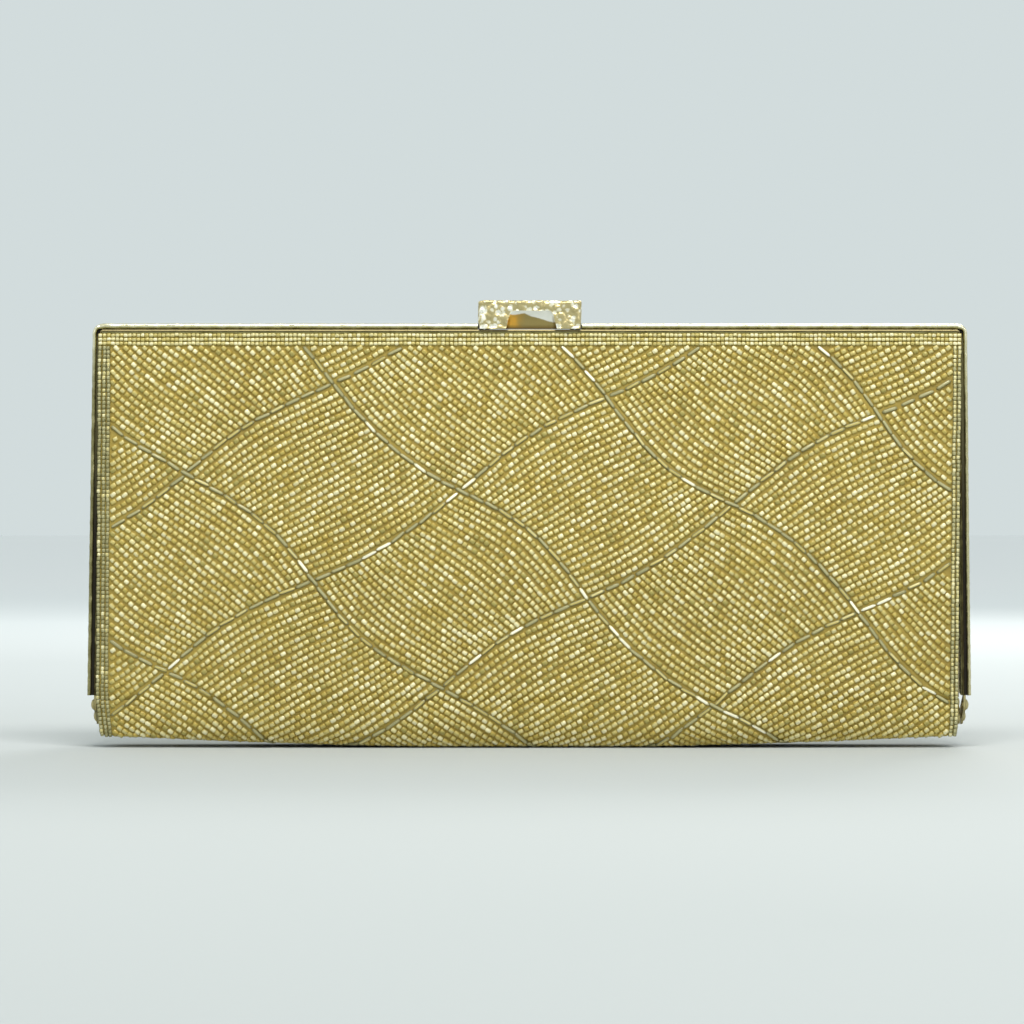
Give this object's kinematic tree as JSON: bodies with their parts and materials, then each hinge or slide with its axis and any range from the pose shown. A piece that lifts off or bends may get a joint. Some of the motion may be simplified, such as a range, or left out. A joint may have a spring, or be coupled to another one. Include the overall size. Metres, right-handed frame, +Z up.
{
  "type": "evening bag",
  "caption": "Flat beaded evening clutch on a hinged metal frame, with a lift clasp at the top centre, a satin lining and folding side gussets.",
  "frame": {"origin": "middle of the flat part of the base, on the surface that the bag stands on", "axes": "+X across the bag to the right as seen from the front, -Y towards the front, +Z up"},
  "size_m": [0.2472, 0.026, 0.125],
  "materials": {
    "frame_gold": "bright gold-toned plating, lightly hammered",
    "hinge_gold": "polished gold-toned plating",
    "clasp_gold": "pale gold-toned plating, nugget texture",
    "clasp_steel": "plain plated steel",
    "beadwork": "silver-lined gold glass beads on cloth",
    "satin": "satin",
    "board": "plain"
  },
  "bodies": {
    "rear_half": {"rear_frame": "frame_gold", "rear_left_ear": "hinge_gold", "rear_right_ear": "hinge_gold", "rear_left_ear_rivet": "hinge_gold", "rear_right_ear_rivet": "hinge_gold", "left_pivot_rivet": "hinge_gold", "right_pivot_rivet": "hinge_gold", "rear_beaded_panel": "beadwork", "rear_board": "board", "rear_lining": "satin", "base_fold": "beadwork", "base_board": "board", "base_lining": "satin", "left_gusset": "satin", "right_gusset": "satin", "clasp_bracket": "clasp_steel", "bracket_left_rivet": "clasp_steel", "bracket_right_rivet": "clasp_steel", "clasp_pin": "clasp_steel", "clasp_spring": "clasp_steel"},
    "front_half": {"front_frame": "frame_gold", "front_left_ear": "hinge_gold", "front_right_ear": "hinge_gold", "front_left_ear_rivet": "hinge_gold", "front_right_ear_rivet": "hinge_gold", "front_beaded_panel": "beadwork", "front_board": "board", "front_lining": "satin", "catch_plate": "clasp_steel", "catch_left_rivet": "clasp_steel", "catch_right_rivet": "clasp_steel"},
    "clasp_lever": {"clasp_bar": "clasp_gold", "clasp_hook": "clasp_steel", "hook_rivet": "clasp_steel"}
  },
  "joints": [
    {"name": "frame_opening", "type": "hinge", "parent": "rear_half", "child": "front_half", "pos_m": [0, 0, 0.0083], "axis": [1, 0, 0], "range_deg": [0, 40], "deforming": ["base_fold", "base_lining", "left_gusset", "right_gusset"]},
    {"name": "clasp_lift", "type": "hinge", "parent": "rear_half", "child": "clasp_lever", "pos_m": [0, 0.005, 0.1215], "axis": [-1, 0, 0], "range_deg": [0, 60], "stiffness_Nm_per_rad": 0.003, "deforming": ["clasp_spring"]}
  ]
}
